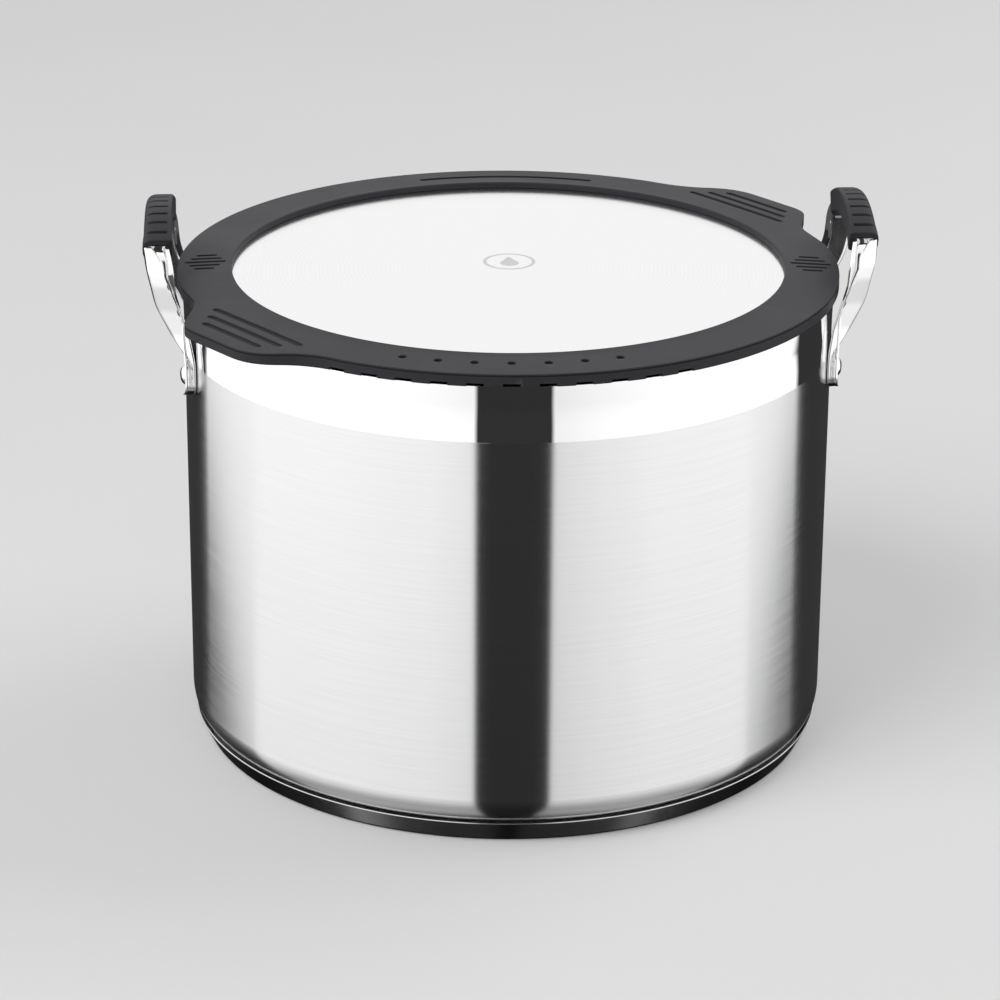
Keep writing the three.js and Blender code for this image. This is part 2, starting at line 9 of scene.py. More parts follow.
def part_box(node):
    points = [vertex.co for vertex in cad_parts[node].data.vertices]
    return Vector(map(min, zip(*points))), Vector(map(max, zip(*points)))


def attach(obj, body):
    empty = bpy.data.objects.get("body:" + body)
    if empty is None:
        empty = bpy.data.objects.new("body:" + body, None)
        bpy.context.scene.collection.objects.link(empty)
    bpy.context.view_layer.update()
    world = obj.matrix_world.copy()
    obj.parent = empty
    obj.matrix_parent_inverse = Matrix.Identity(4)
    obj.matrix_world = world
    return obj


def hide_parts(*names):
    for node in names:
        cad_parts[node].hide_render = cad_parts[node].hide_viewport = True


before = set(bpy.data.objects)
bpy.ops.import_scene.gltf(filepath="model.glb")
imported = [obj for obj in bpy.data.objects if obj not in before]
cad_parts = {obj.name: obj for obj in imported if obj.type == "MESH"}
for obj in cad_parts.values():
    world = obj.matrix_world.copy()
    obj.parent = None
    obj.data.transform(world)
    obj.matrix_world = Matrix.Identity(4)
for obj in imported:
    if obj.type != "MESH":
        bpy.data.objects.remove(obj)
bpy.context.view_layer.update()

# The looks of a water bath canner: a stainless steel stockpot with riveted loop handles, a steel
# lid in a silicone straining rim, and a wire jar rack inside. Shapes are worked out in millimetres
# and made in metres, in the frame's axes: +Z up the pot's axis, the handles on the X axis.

MM = 0.001
ROUND = 288  # facets around the pot and the lid

# ------------------------------------------------------------------ sizes, in millimetres

POT_RADIUS = 165.0
POT_WALL = 1.0
POT_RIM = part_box("pot_shell")[1].z / MM
FLOOR_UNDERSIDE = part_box("pot_shell")[0].z / MM
POLISH_START = 211.5  # height where the satin wall turns into the polished band

CAP_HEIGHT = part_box("base_cap")[1].z / MM
CAP_TOP_RADIUS = 163.9
CAP_FOOT_RADIUS = 158.0

DISC_RADIUS = 146.0
DISC_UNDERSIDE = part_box("lid_disc")[0].z / MM
DISC_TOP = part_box("lid_disc")[1].z / MM
DISC_GAP = 0.15  # between the disc's faces and the rim's groove

RIM_INNER_RADIUS = 140.2
RIM_OUTER_RADIUS = 167.9
RIM_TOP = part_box("lid_rim")[1].z / MM
RIM_FALL = 0.05  # slope of the rim's top
SKIRT_BOTTOM = POT_RIM + 0.3
RIM_UNDERSIDE = 241.2
SEAL_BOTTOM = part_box("lid_rim")[0].z / MM
LID_TURN = radians(-2.7)
TAB_AZIMUTHS = (39.5, 219.5)
VENT_CIRCLE = 153.5  # radius of the circle that the straining holes are on
FRONT = 270  # azimuth of the middle hole, in degrees

BAR_OFFSET = 176.2  # from the pot's axis to the middle of the bar inside the grip, along X
COVERED_DEPTH = 8.0  # of the bar inside the grip
LEG_OFFSET = 40.0  # from the X axis to the middle of a leg
LEG_WIDTH = 8.0
LEG_TOP = 256.4
BEND_RADIUS = 12.0
BEND_TURN = 62.0  # degrees, from a leg to the arch's crown
BEND_CENTRE = LEG_OFFSET - BEND_RADIUS
CROWN_RADIUS = BEND_RADIUS + BEND_CENTRE / cos(radians(BEND_TURN))
CROWN_CENTRE = LEG_TOP - BEND_CENTRE * tan(radians(BEND_TURN))
LEG_END = 60.0  # degrees around the bend
FOOT_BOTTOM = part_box("right_handle")[0].z / MM
FOOT_WIDTH = 14.0
FOOT_ROUND = 7.0  # radius of the foot's lower end
RIVET_HEIGHT = 204.3
RIVET_ANGLE = 14.45  # degrees from the X axis

GRIP_START = 61.4  # degrees around the bend
GRIP_ABOVE = 6.95  # from the bar's middle line to the grip's outer face
GRIP_BELOW = 5.75
GRIP_HALF_DEPTH = 7.45
GRIP_GROOVES = 9
GRIP_PITCH = 8.1
GROOVE_HALF_WIDTH = 0.95
GROOVE_DEPTH = 1.35
BORE_HALF_DEPTH = 4.3
BORE_HALF_HEIGHT = 3.7

RACK_RADIUS = 138.0
RING_WIRE = 2.5  # radius of the wires of the two big rings and the uprights
THIN_WIRE = 2.0  # radius of the other wires
WELD_GAP = 0.3
RACK_BASE_HEIGHT = 16.5
RACK_TOP_HEIGHT = 98.0
DIVIDER_HEIGHT = 62.0
DIVIDER_RADIUS = 50.0
BAIL_HALF_WIDTH = 50.0
BAIL_LENGTH = 118.0
BAIL_LEAN = radians(8)
EYE_RADIUS = 6.2


# ------------------------------------------------------------------ mesh helpers

def smooth(t):
    """Smooth step from 0 to 1."""
    t = np.clip(t, 0.0, 1.0)
    return t * t * (3 - 2 * t)


def rounded(corners, steps):
    """An open path through [x, y, reach] corners; reach is how far a corner's rounding goes."""
    path = []
    for i, (x, y, *reach) in enumerate(corners):
        corner = np.array([x, y], float)
        if not reach or i in (0, len(corners) - 1):
            path.append(corner)
            continue
        before = np.array(corners[i - 1][:2], float) - corner
        after = np.array(corners[i + 1][:2], float) - corner
        enter = corner + before / np.linalg.norm(before) * reach[0]
        leave = corner + after / np.linalg.norm(after) * reach[0]
        for t in np.linspace(0, 1, steps + 1):
            path.append((1 - t) ** 2 * enter + 2 * t * (1 - t) * corner + t ** 2 * leave)
    return path


def held(path):
    """The same path with extra points near the ends of long stretches, so that shading stays true."""
    hold, longest = 0.25, 4.0
    result = [path[0]]
    for start, end in zip(path, path[1:]):
        length = np.linalg.norm(end - start)
        if length > longest:
            step = (end - start) / length * hold
            result += [start + step, end - step]
        result.append(end)
    return result


def mesh_object(name, vertices, faces, sharp):
    """A smooth-shaded object from vertices in millimetres; edges past the sharp angle stay hard."""
    mesh = bpy.data.meshes.new(name)
    mesh.from_pydata([tuple(v) for v in np.asarray(vertices) * MM], [], faces)
    shape = bmesh.new()
    shape.from_mesh(mesh)
    bmesh.ops.remove_doubles(shape, verts=shape.verts, dist=1e-7)
    bmesh.ops.recalc_face_normals(shape, faces=shape.faces)
    shape.to_mesh(mesh)
    shape.free()
    mesh.shade_smooth()
    mesh.set_sharp_from_angle(angle=radians(sharp))
    piece = bpy.data.objects.new(name, mesh)
    bpy.context.scene.collection.objects.link(piece)
    return piece


def ring_faces(count, size, loop):
    """Faces between rings of points, joined end to end or capped at both ends."""
    faces = []
    for i in range(count if loop else count - 1):
        low, high = i * size, (i + 1) % count * size
        faces += [(low + j, low + (j + 1) % size, high + (j + 1) % size, high + j) for j in range(size)]
    if not loop:
        faces.append(tuple(reversed(range(size))))
        faces.append(tuple((count - 1) * size + j for j in range(size)))
    return faces


def ring_mesh(name, rings, loop=False, sharp=40):
    """One closed mesh through rings of equal length."""
    rings = np.asarray(rings, float)
    count, size = rings.shape[:2]
    return mesh_object(name, rings.reshape(-1, 3), ring_faces(count, size, loop), sharp)


def lathe_rings(profile, steps=ROUND):
    """Rings about Z, one for each [radius, height] of the profile."""
    angles = np.linspace(0, 2 * pi, steps, endpoint=False)
    return [np.stack([r * np.cos(angles), r * np.sin(angles), np.full(steps, z)], 1) for r, z in profile]


def lathe(name, profile):
    """A solid of revolution about Z, from a profile that starts and ends near the axis."""
    return ring_mesh(name, lathe_rings(held(profile)))


def tube_rings(points, radius, loop):
    """Rings of a round wire along a path, with domed ends where the path is open."""
    sides = 14
    points = [Vector(p) for p in points]
    count = len(points)
    tangents = []
    for i in range(count):
        before = points[i - 1] if i or loop else points[0]
        after = points[(i + 1) % count] if i < count - 1 or loop else points[-1]
        tangents.append((after - before).normalized())
    side = tangents[0].orthogonal().normalized()
    rings = []
    for i, (point, tangent) in enumerate(zip(points, tangents)):
        if i:
            side = tangents[i - 1].rotation_difference(tangent) @ side
        side = (side - tangent * side.dot(tangent)).normalized()
        other = tangent.cross(side)
        turns = [2 * pi * k / sides for k in range(sides)]
        shares = [(0.0, 1.0)]
        if not loop and i in (0, count - 1):
            dome = [(1 - sin(a), cos(a)) for a in (pi / 2.15, pi / 3, pi / 5, pi / 12)]
            shares = dome if i == 0 else [(-back, share) for back, share in reversed(dome)]
        for back, share in shares:
            centre = point + tangent * back * radius
            rings.append([centre + (side * cos(t) + other * sin(t)) * radius * share for t in turns])
    return rings


def wire(name, points, radius, loop=False):
    """A round wire along a path."""
    return ring_mesh(name, tube_rings(points, radius, loop), loop)


def turned(piece, angle):
    """The piece turned about the Z axis, in its mesh."""
    piece.data.transform(Matrix.Rotation(angle, 4, "Z"))
    return piece


def place(piece, body, slot, material, *nodes):
    """Gives a finished piece its material, hides the CAD nodes it stands for and parents it to the body
    it rides on.
    """
    piece.data.materials.clear()
    piece.data.materials.append(material)
    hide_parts(*nodes)
    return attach(piece, body)


def cut(piece, cutters):
    """The piece with every cutter taken away from it."""
    bpy.context.view_layer.update()
    for cutter in cutters:
        modifier = piece.modifiers.new("cut", "BOOLEAN")
        modifier.operation = "DIFFERENCE"
        modifier.solver = "MANIFOLD"
        modifier.object = cutter
    evaluated = piece.evaluated_get(bpy.context.evaluated_depsgraph_get())
    result = bpy.data.meshes.new_from_object(evaluated)
    piece.modifiers.clear()
    piece.data = result
    for cutter in cutters:
        bpy.data.objects.remove(cutter)
    result.shade_smooth()
    result.set_sharp_from_angle(angle=radians(32))
    return piece


# ------------------------------------------------------------------ materials

class Nodes:
    """A node tree with short calls for making its nodes."""

    def __init__(self, tree):
        self.tree = tree

    def node(self, kind, *inputs, **settings):
        """A node whose inputs are numbers, colours or other sockets, in order; None skips one."""
        node = self.tree.nodes.new(kind)
        for setting, value in settings.items():
            setattr(node, setting, value)
        for socket, value in zip(node.inputs, inputs):
            self.feed(socket, value)
        return node

    def feed(self, socket, value):
        """Links the socket to another one, or sets it to a number or a colour."""
        if isinstance(value, bpy.types.NodeSocket):
            self.tree.links.new(value, socket)
        elif value is not None:
            socket.default_value = value

    def math(self, operation, *inputs, clamp=False):
        """The result of a math node."""
        return self.node("ShaderNodeMath", *inputs, operation=operation, use_clamp=clamp).outputs[0]

    def weighted(self, first, second, share):
        """The first value times its share, plus the second value times the rest."""
        rest = self.math("MULTIPLY", second, 1 - share)
        return self.math("ADD", self.math("MULTIPLY", first, share), rest)


class Finish(Nodes):
    """A Principled material under construction."""

    def __init__(self, name, **sockets):
        self.material = bpy.data.materials.new(name)
        self.material.use_nodes = True
        super().__init__(self.material.node_tree)
        self.shader = self.tree.nodes["Principled BSDF"]
        for socket, value in sockets.items():
            self.shader.inputs[socket.replace("_", " ")].default_value = value

    def set(self, socket, value):
        """Feeds a socket of the shader."""
        self.feed(self.shader.inputs[socket], value)

    def position(self):
        """The position on the piece, in metres."""
        return self.node("ShaderNodeTexCoord").outputs["Object"]

    def noise(self, scale, detail=3.0, stretch=(1, 1, 1)):
        """Noise from 0 to 1; scale is in features per metre, shared out by the stretch."""
        mapping = self.node("ShaderNodeMapping", self.position(), None, None, stretch)
        texture = self.node("ShaderNodeTexNoise")
        self.feed(texture.inputs["Vector"], mapping.outputs[0])
        texture.inputs["Scale"].default_value = scale
        texture.inputs["Detail"].default_value = detail
        return texture.outputs["Fac"]

    def spread(self, value, low, high):
        """Noise's usual range, 0.3 to 0.7, spread between two numbers."""
        node = self.node("ShaderNodeMapRange")
        self.feed(node.inputs["Value"], value)
        node.inputs["From Min"].default_value = 0.3
        node.inputs["From Max"].default_value = 0.7
        node.inputs["To Min"].default_value = low
        node.inputs["To Max"].default_value = high
        return node.outputs["Result"]

    def blend(self, share, first, second):
        """One of two colours or something between them."""
        node = self.node("ShaderNodeMix", data_type="RGBA")
        self.feed(node.inputs["Factor"], share)
        self.feed(node.inputs[6], first)
        self.feed(node.inputs[7], second)
        return node.outputs[2]

    def bump(self, height, distance, strength=1.0):
        """Fine relief; distance is in metres."""
        node = self.node("ShaderNodeBump")
        node.inputs["Strength"].default_value = strength
        node.inputs["Distance"].default_value = distance
        self.feed(node.inputs["Height"], height)
        self.set("Normal", node.outputs[0])

    def brushed_around(self):
        """Turns the shader's anisotropy along the circles about the Z axis."""
        tangent = self.node("ShaderNodeTangent", direction_type="RADIAL", axis="Z")
        self.set("Tangent", tangent.outputs[0])


def grey(value, tint=0.0):
    """A grey colour, a little bluer with a tint."""
    return (value, value, value * (1 + tint), 1.0)


def pot_steel():
    """Satin steel brushed around the pot, with a mirror-polished band below the rim."""
    finish = Finish("satin_and_polished_steel", Metallic=1.0, Anisotropic=1.0, Anisotropic_Rotation=0.25)
    finish.brushed_around()
    height = finish.node("ShaderNodeSeparateXYZ", finish.position()).outputs["Z"]
    band = finish.math("GREATER_THAN", height, POLISH_START * MM)
    satin = finish.math("SUBTRACT", 1.0, band)
    streaks = finish.noise(1.0, 4.0, (5, 5, 620))
    hairs = finish.noise(1.0, 2.0, (26, 26, 2600))
    lines = finish.weighted(streaks, hairs, 0.4)
    clouds = finish.noise(7.0, 2.0)
    tone = finish.blend(finish.spread(lines, 0.0, 1.0), grey(0.73, 0.012), grey(0.79, 0.012))
    finish.set("Base Color", finish.blend(band, tone, grey(0.86, 0.005)))
    brushed = finish.spread(lines, 0.13, 0.165)
    satin_roughness = finish.math("ADD", brushed, finish.spread(clouds, 0.0, 0.015))
    polish_roughness = finish.spread(clouds, 0.03, 0.05)
    finish.set("Roughness", finish.math(
        "ADD",
        finish.math("MULTIPLY", satin, satin_roughness),
        finish.math("MULTIPLY", band, polish_roughness),
    ))
    finish.bump(finish.math("MULTIPLY", hairs, satin), 0.000004)
    return finish.material


def lid_steel():
    """Fine satin steel with a small etched emblem: a droplet in a ring."""
    finish = Finish("fine_satin_steel", Metallic=1.0)
    grain = finish.noise(1500.0)
    scale, distortion, detail = 140.0, 3.0, 2.0
    circles = finish.node(
        "ShaderNodeTexWave", finish.position(), scale, distortion, detail,
        wave_type="RINGS", rings_direction="Z",
    )
    tone = finish.weighted(grain, circles.outputs["Fac"], 0.7)
    etched = emblem(finish)
    steel = finish.blend(finish.spread(tone, 0.0, 1.0), grey(0.80), grey(0.84))
    finish.set("Base Color", finish.blend(etched, steel, grey(0.60)))
    rough = finish.spread(tone, 0.16, 0.21)
    finish.set("Roughness", finish.math("ADD", rough, finish.math("MULTIPLY", etched, 0.22)))
    finish.bump(tone, 0.0000012)
    return finish.material


def emblem(finish):
    """1 on the etched droplet and ring near the middle of the lid, and 0 elsewhere, in metres."""
    middle_x, middle_y = 0.001, 0.010
    ring_radius, ring_half_width = 0.0125, 0.0009
    bulb_radius, bulb_drop = 0.0048, 0.0025
    tip_height, tip_slope, tip_start = 0.0085, 0.46, -0.0005
    parts = finish.node("ShaderNodeSeparateXYZ", finish.position())
    x = finish.math("ABSOLUTE", finish.math("SUBTRACT", parts.outputs["X"], middle_x))
    y = finish.math("SUBTRACT", parts.outputs["Y"], middle_y)

    def distance(across, along):
        squares = [finish.math("MULTIPLY", v, v) for v in (across, along)]
        return finish.math("SQRT", finish.math("ADD", *squares))

    off_ring = finish.math("ABSOLUTE", finish.math("SUBTRACT", distance(x, y), ring_radius))
    ring = finish.math("LESS_THAN", off_ring, ring_half_width)
    bulb = finish.math("LESS_THAN", distance(x, finish.math("ADD", y, bulb_drop)), bulb_radius)
    taper = finish.math("MULTIPLY", finish.math("SUBTRACT", tip_height, y), tip_slope)
    above = finish.math("GREATER_THAN", y, tip_start)
    tip = finish.math("MULTIPLY", finish.math("LESS_THAN", x, taper), above)
    return finish.math("MAXIMUM", ring, finish.math("MAXIMUM", bulb, tip))


def polished_steel(name, roughness, tone):
    """Bright polished steel with faint handling marks."""
    finish = Finish(name, Metallic=1.0)
    clouds = finish.noise(60.0)
    hairs = finish.noise(700.0, 3.0, (1, 1, 0.15))
    finish.set("Base Color", finish.blend(clouds, grey(tone - 0.04), grey(tone + 0.03)))
    marks = finish.weighted(clouds, hairs, 0.6)
    finish.set("Roughness", finish.spread(marks, roughness * 0.7, roughness * 1.4))
    finish.bump(hairs, 0.000004)
    return finish.material


def aluminium():
    """Plain mill aluminium."""
    finish = Finish("mill_aluminium", Metallic=1.0)
    streaks = finish.noise(1.0, 3.0, (20, 900, 900))
    finish.set("Base Color", finish.blend(streaks, grey(0.66), grey(0.74)))
    finish.set("Roughness", finish.spread(streaks, 0.38, 0.52))
    finish.bump(streaks, 0.00003)
    return finish.material


def silicone():
    """Matte charcoal silicone with a fine moulded grain, and a painted highlight: paler colour on its
    sharp convex edges.
    """
    finish = Finish("charcoal_silicone", Specular_IOR_Level=0.2)
    grain = finish.noise(2600.0)
    clouds = finish.noise(30.0)
    edge = finish.node("ShaderNodeNewGeometry").outputs["Pointiness"]
    # Painted highlight: the sharp convex edges, found by pointiness, are given a paler colour.
    painted_edge_highlight = finish.math("MULTIPLY", finish.math("SUBTRACT", edge, 0.53, clamp=True), 6.0, clamp=True)
    body = finish.blend(clouds, (0.021, 0.020, 0.024, 1), (0.030, 0.029, 0.034, 1))
    # The paler colour on the edges is a painted edge highlight, not wear.
    finish.set("Base Color", finish.blend(painted_edge_highlight, body, (0.05, 0.049, 0.054, 1)))
    finish.set("Roughness", finish.spread(finish.weighted(grain, clouds, 0.5), 0.46, 0.6))
    finish.bump(grain, 0.00004, 0.6)
    return finish.material


POT_STEEL = pot_steel()
LID_STEEL = lid_steel()
POLISHED = polished_steel("polished_steel", 0.09, 0.84)
CAP_STEEL = polished_steel("base_cap_steel", 0.16, 0.70)
WIRE_STEEL = polished_steel("bright_wire", 0.17, 0.74)
ALUMINIUM = aluminium()
SILICONE = silicone()


# ------------------------------------------------------------------ pot

def pot_body():
    """The drawn shell: floor, rounded corner, straight wall and a slightly flared lip."""
    inner_radius = POT_RADIUS - POT_WALL
    floor_top = FLOOR_UNDERSIDE + POT_WALL
    profile = rounded([
        [2, FLOOR_UNDERSIDE],
        [100, FLOOR_UNDERSIDE],
        [POT_RADIUS, FLOOR_UNDERSIDE, 18],
        [POT_RADIUS, 120],
        [POT_RADIUS, POT_RIM - 15, 5],
        [POT_RADIUS + 0.45, POT_RIM - 1.6, 1.0],
        [POT_RADIUS + 0.5, POT_RIM, 0.3],
        [POT_RADIUS - 0.1, POT_RIM, 0.3],
        [inner_radius, POT_RIM - 4, 2],
        [inner_radius, 120],
        [inner_radius, floor_top, 17],
        [100, floor_top],
        [2, floor_top],
    ], 14)
    place(lathe("pot_body", profile), "pot", "brushed_steel", POT_STEEL, "pot_shell")


def base_shell():
    """The dish that encloses the aluminium disc, with a sloping side."""
    wall = 0.9
    profile = rounded([
        [2, 0],
        [80, 0],
        [CAP_FOOT_RADIUS, 0, 1.5],
        [CAP_TOP_RADIUS, CAP_HEIGHT, 0.5],
        [CAP_TOP_RADIUS - wall - 0.1, CAP_HEIGHT, 0.4],
        [CAP_FOOT_RADIUS - 0.8, wall, 1],
        [80, wall],
        [2, wall],
    ], 6)
    place(lathe("base_shell", profile), "pot", "polished_steel", CAP_STEEL, "base_cap")


def rivet(name, azimuth, node):
    """A domed rivet through a handle's foot and the pot's wall, with a flat head inside."""
    head, shank = 5.0, 2.5
    inner_head, wall_inside, foot_outside, dome_top = -3.2, -1.02, 2.42, 6.45
    profile = rounded([
        [0.1, inner_head],
        [head, inner_head, 1.2],
        [head, wall_inside],
        [shank, wall_inside],
        [shank, foot_outside],
        [head, foot_outside],
        [head, dome_top, 3.9],
        [0.1, dome_top],
    ], 12)
    piece = ring_mesh(name, lathe_rings(profile, 48))
    piece.data.transform(Matrix.Rotation(pi / 2, 4, "Y"))
    piece.data.transform(Matrix.Translation((POT_RADIUS * MM, 0, RIVET_HEIGHT * MM)))
    place(turned(piece, radians(azimuth)), "pot", "polished_steel", POLISHED, node)


# ------------------------------------------------------------------ handles

HEIGHTS = np.arange(190.0, 290.0, 0.25)


def eased(width, *corners):
    """Radius at each of HEIGHTS, through (radius, height) points; a bigger width is smoother."""
    radii, heights = zip(*corners)
    values = np.interp(HEIGHTS, heights, radii)
    kernel = np.hanning(2 * width + 3)
    padded = np.pad(values, width + 1, mode="edge")
    return np.convolve(padded, kernel / kernel.sum(), mode="valid")


LEG_OUTSIDE = eased(
    26,
    (167.4, 192), (167.5, 212), (174.2, 223.2), (181.8, 239), (186, 259), (186.4, 290),
)
LEG_INSIDE = eased(
    22,
    (165.3, 192), (165.3, 213), (166.4, 224), (172.7, 247), (174.6, 276),
)
RIDGE = eased(
    10,
    (165.3, 192), (165.3, 213), (167, 226), (170.5, 238), (177, 251), (178.5, 260), (179.5, 268),
)
SCOOP_INNER = eased(
    8,
    (169.2, 236), (171.1, 240), (174.4, 249.7), (176.6, 256), (176.4, 262), (176, 266), (176, 276),
)
SCOOP_OUTER = eased(
    8,
    (170.4, 236), (172.6, 240), (176.1, 249.7), (178.4, 256), (178.9, 263), (183, 270), (185, 276),
)
SCOOP_START = 233.0
FACET_SLOPE = tan(radians(12))


def bar_path():
    """Stations along a handle, foot to foot: middle (y, z), outward direction, half width, on a leg."""
    foot_middle = POT_RADIUS * sin(radians(RIVET_ANGLE))
    foot_straight, foot_to_leg = 15, 16
    covered_half = LEG_WIDTH / 2 - 0.6
    heights = np.concatenate([
        FOOT_BOTTOM + FOOT_ROUND * (1 - np.cos(np.linspace(0.06, pi / 2, 14))),
        np.arange(FOOT_BOTTOM + FOOT_ROUND + 1, 226, 1.4),
        np.arange(226.5, LEG_TOP, 0.7),
    ])
    first_half = []
    for z in heights:
        into_leg = smooth((z - FOOT_BOTTOM - foot_straight) / foot_to_leg)
        middle = foot_middle + (LEG_OFFSET - foot_middle) * into_leg
        half = FOOT_WIDTH / 2 + (LEG_WIDTH - FOOT_WIDTH) / 2 * into_leg
        from_bottom = z - FOOT_BOTTOM
        if from_bottom < FOOT_ROUND:
            half = sqrt(FOOT_ROUND ** 2 - (FOOT_ROUND - from_bottom) ** 2)
        first_half.append((-middle, z, -1.0, 0.0, half, True))
    for angle in np.linspace(180, 180 - LEG_END, 40):
        first_half.append(arch_station(angle, LEG_WIDTH / 2, True))
    for angle in np.linspace(179.9 - LEG_END, 90, 30):
        first_half.append(arch_station(angle, covered_half, False))
    mirrored = [(-y, z, -out_y, *rest) for y, z, out_y, *rest in first_half]
    return first_half + mirrored[-2::-1]


def arch_station(angle, half, on_leg):
    """A station on the arch; the angle goes from 180 at a leg's top, over 90 in the middle, to 0."""
    turn = radians(angle)
    if angle > 180 - BEND_TURN:
        centre_y, centre_z, radius = -BEND_CENTRE, LEG_TOP, BEND_RADIUS
    elif angle < BEND_TURN:
        centre_y, centre_z, radius = BEND_CENTRE, LEG_TOP, BEND_RADIUS
    else:
        centre_y, centre_z, radius = 0.0, CROWN_CENTRE, CROWN_RADIUS
    out_y, out_z = cos(turn), sin(turn)
    return (centre_y + radius * out_y, centre_z + radius * out_z, out_y, out_z, half, on_leg)


def section_layout(counts):
    """The points around a bar's section, with a count for each side: side, place along it, and the
    share of the corner's turn, or None on the straight."""
    corner_steps = 4
    layout = []
    for side, count in enumerate(counts):
        layout += [(side, t, None) for t in np.linspace(0, 1, count)]
        layout += [(side, 1.0, t) for t in np.linspace(0, 1, corner_steps + 1)[1:-1]]
    return layout


BAR_LAYOUT = section_layout((41, 8, 10, 8))
FACE_SHARES = (0.0, 0.2, 0.35, 0.6, 0.75, 1.0)  # the scoop's edges and floor among a face's points


def bar_section(half, depth, corner):
    """Points (outward, radial) around a bar, starting on its outward face; radial is from 0 to depth."""
    corners = [(half, 0), (half, depth), (-half, depth), (-half, 0)]
    points = []
    for side, along, turn in BAR_LAYOUT:
        start, end = np.array(corners[side], float), np.array(corners[(side + 1) % 4], float)
        direction = (end - start) / np.linalg.norm(end - start)
        if turn is None:
            points.append(start + direction * corner + (end - start - 2 * direction * corner) * along)
            continue
        following = np.array(corners[(side + 2) % 4], float) - end
        following /= np.linalg.norm(following)
        centre = end - direction * corner + following * corner
        angle = turn * pi / 2
        points.append(centre + direction * corner * sin(angle) - following * corner * cos(angle))
    return points


def leg_face(radius, height, low, high):
    """A point of a leg's outward face: its radius, moved so that the points follow the scoop's
    edges, and how far it lies below the leg's full width."""
    share = (radius - low) / (high - low)
    least_margin, least_width, fade_height = 0.3, 0.6, 6
    inner = max(np.interp(height, HEIGHTS, SCOOP_INNER), low + least_margin)
    outer = max(np.interp(height, HEIGHTS, SCOOP_OUTER), inner + least_width)
    wall = 0.3 + 0.14 * (outer - inner)
    depth = 0.9 + 0.2 * (outer - inner)
    edges = (low, inner, inner + wall, outer - wall, outer, high)
    radius = np.interp(share, FACE_SHARES, edges)
    facet = FACET_SLOPE * abs(radius - np.interp(height, HEIGHTS, RIDGE))
    inside = smooth(min(radius - inner, outer - radius) / wall)
    scoop = depth * inside * smooth((height - SCOOP_START) / fade_height)
    return radius, facet * (1 - 0.7 * inside) + scoop


def leg_surface(outward, share, height, half, corner):
    """A point of a leg's section, from its place outward and its share of the depth, with the facets
    and the scoop cut into the outward face: the new place outward, and the radius."""
    lowest = np.interp(height, HEIGHTS, LEG_INSIDE)
    highest = np.interp(height, HEIGHTS, LEG_OUTSIDE)
    radius = lowest + (highest - lowest) * share
    facet = FACET_SLOPE * abs(radius - np.interp(height, HEIGHTS, RIDGE))
    if outward > half - 0.01:
        radius, facet = leg_face(radius, height, lowest + corner, highest - corner)
    if outward > 0:
        outward -= facet * outward / half
    return outward, radius


def bar_ring(middle_y, middle_z, out_y, out_z, half, on_leg):
    """The points around one station: a leg follows the pot's curve, and the arch is flat."""
    inside, depth = BAR_OFFSET - COVERED_DEPTH / 2, COVERED_DEPTH
    if on_leg:
        inside = np.interp(middle_z, HEIGHTS, LEG_INSIDE)
        depth = np.interp(middle_z, HEIGHTS, LEG_OUTSIDE) - inside
    corner = min(1.0, 0.42 * depth, 0.45 * half)
    ring = []
    for outward, radial in bar_section(half, depth, corner):
        radius = inside + radial
        if on_leg:
            height = middle_z + outward * out_z
            outward, radius = leg_surface(outward, radial / depth, height, half, corner)
        y = middle_y + outward * out_y
        z = middle_z + outward * out_z
        ring.append((sqrt(radius ** 2 - y ** 2) if on_leg else radius, y, z))
    return ring


def handle_bar(name, turn, node):
    """One polished bar: two riveted feet, two scooped legs and the arch inside the grip."""
    rings = [bar_ring(*station) for station in bar_path()]
    piece = turned(ring_mesh(name, rings, sharp=50), turn)
    place(piece, "pot", "polished_steel", POLISHED, node)


def grip_section():
    """Points (radial, outward) around the grip: crisp towards the pot, well rounded away from it."""
    edge = rounded([
        [0, GRIP_ABOVE],
        [-GRIP_HALF_DEPTH, GRIP_ABOVE, 1.7],
        [-GRIP_HALF_DEPTH, -GRIP_BELOW, 2.0],
        [GRIP_HALF_DEPTH, -GRIP_BELOW, 3.2],
        [GRIP_HALF_DEPTH, GRIP_ABOVE, 6.2],
        [0, GRIP_ABOVE],
    ], 8)
    points = []
    for start, end in zip(edge, edge[1:]):
        steps = max(1, int(np.linalg.norm(end - start) / 0.45))
        points += [start + (end - start) * i / steps for i in range(steps)]
    return np.array(points)


def groove_share(along):
    """How far a place along the grip's outer surface is inside a finger groove, from 0 to 1."""
    nearest = round(along / GRIP_PITCH)
    reach = (GRIP_GROOVES - 1) / 2
    nearest = max(-reach, min(reach, nearest))
    side_width = 0.4
    return smooth((GROOVE_HALF_WIDTH - abs(along - nearest * GRIP_PITCH)) / side_width)


def surface_distance(angle):
    """Distance from the grip's middle along its outer surface, for a station on the arch."""
    from_middle = abs(90 - angle)
    on_crown = radians(min(from_middle, 90 - BEND_TURN)) * (CROWN_RADIUS + GRIP_ABOVE)
    on_bend = radians(max(from_middle - 90 + BEND_TURN, 0)) * (BEND_RADIUS + GRIP_ABOVE)
    return (on_crown + on_bend) * (1 if angle < 90 else -1)


def grip_ring(angle, section):
    """A section's points placed around the arch at an angle."""
    middle_y, middle_z, out_y, out_z, *_ = arch_station(angle, 0, False)
    return [
        (BAR_OFFSET + radial, middle_y + outward * out_y, middle_z + outward * out_z)
        for radial, outward in section
    ]


